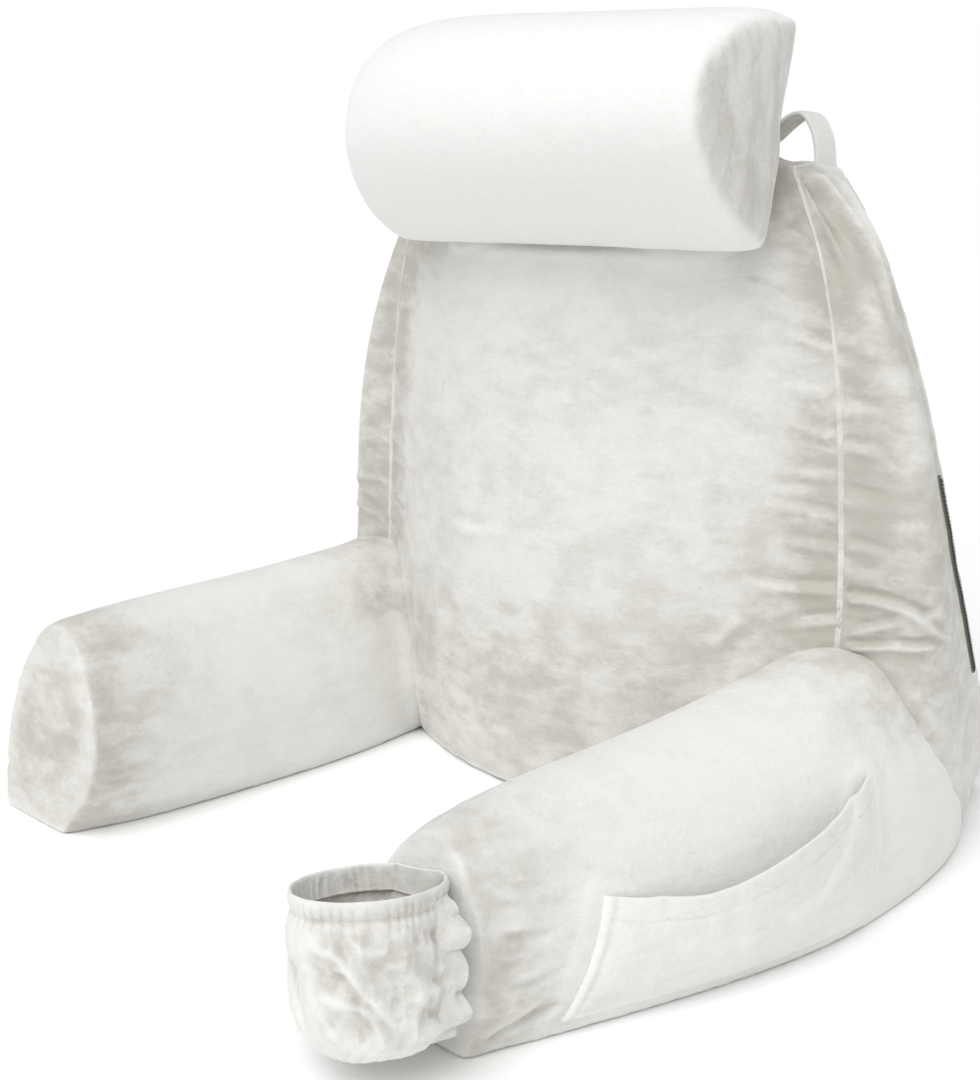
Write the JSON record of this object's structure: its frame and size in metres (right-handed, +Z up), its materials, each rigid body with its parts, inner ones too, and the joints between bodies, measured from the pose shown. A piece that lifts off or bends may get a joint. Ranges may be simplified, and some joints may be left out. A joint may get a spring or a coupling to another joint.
{
  "type": "reading pillow with arms",
  "caption": "Wedge backrest pillow in short-pile plush with padded arms, a D-shaped neck roll, a side pocket, a gathered cup holder and a carry loop.",
  "frame": {"origin": "a point of the backrest's flat underside, near its middle, on the surface that the pillow stands on", "axes": "+Z up, -Y the way the pillow and its arms face, +X towards the arm with the pocket and the cup holder"},
  "size_m": [0.7052, 0.7718, 0.6412],
  "materials": {
    "ivory_plush": "short-pile plush",
    "ivory_plush_sides": "short-pile plush",
    "gathered_plush": "short-pile plush, gathered",
    "zip_tape": "woven tape"
  },
  "bodies": {
    "root": {"backrest": "ivory_plush", "arm_right": "ivory_plush", "arm_left": "ivory_plush", "neck_roll": "ivory_plush", "tablet_pocket": "ivory_plush_sides", "cup_holder": "gathered_plush", "carry_handle": "ivory_plush_sides", "back_zip": "zip_tape"}
  },
  "joints": []
}
